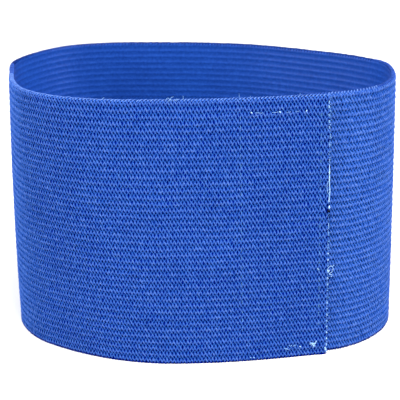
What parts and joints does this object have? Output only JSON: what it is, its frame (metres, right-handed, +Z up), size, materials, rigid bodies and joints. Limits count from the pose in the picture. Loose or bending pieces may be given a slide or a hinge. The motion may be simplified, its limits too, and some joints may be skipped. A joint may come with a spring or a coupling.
{
  "type": "captain armband",
  "caption": "Plain blue captain armband: a wide ribbed woven elastic strip lapped over itself into an oval loop and held by a hidden patch of fastening tape.",
  "frame": {"origin": "middle of the loop's footprint, on the surface that the lower edge stands on", "axes": "+Z up along the loop's axis, +X to the right along its longer way across, +Y to the back, away from the lapped front"},
  "size_m": [0.1134, 0.0796, 0.075],
  "materials": {
    "webbing": "matt ribbed woven elastic with polyester yarn",
    "tape": "matt looped pile"
  },
  "bodies": {
    "root": {"elastic_band": "webbing", "fastening_tape": "tape"}
  },
  "joints": []
}
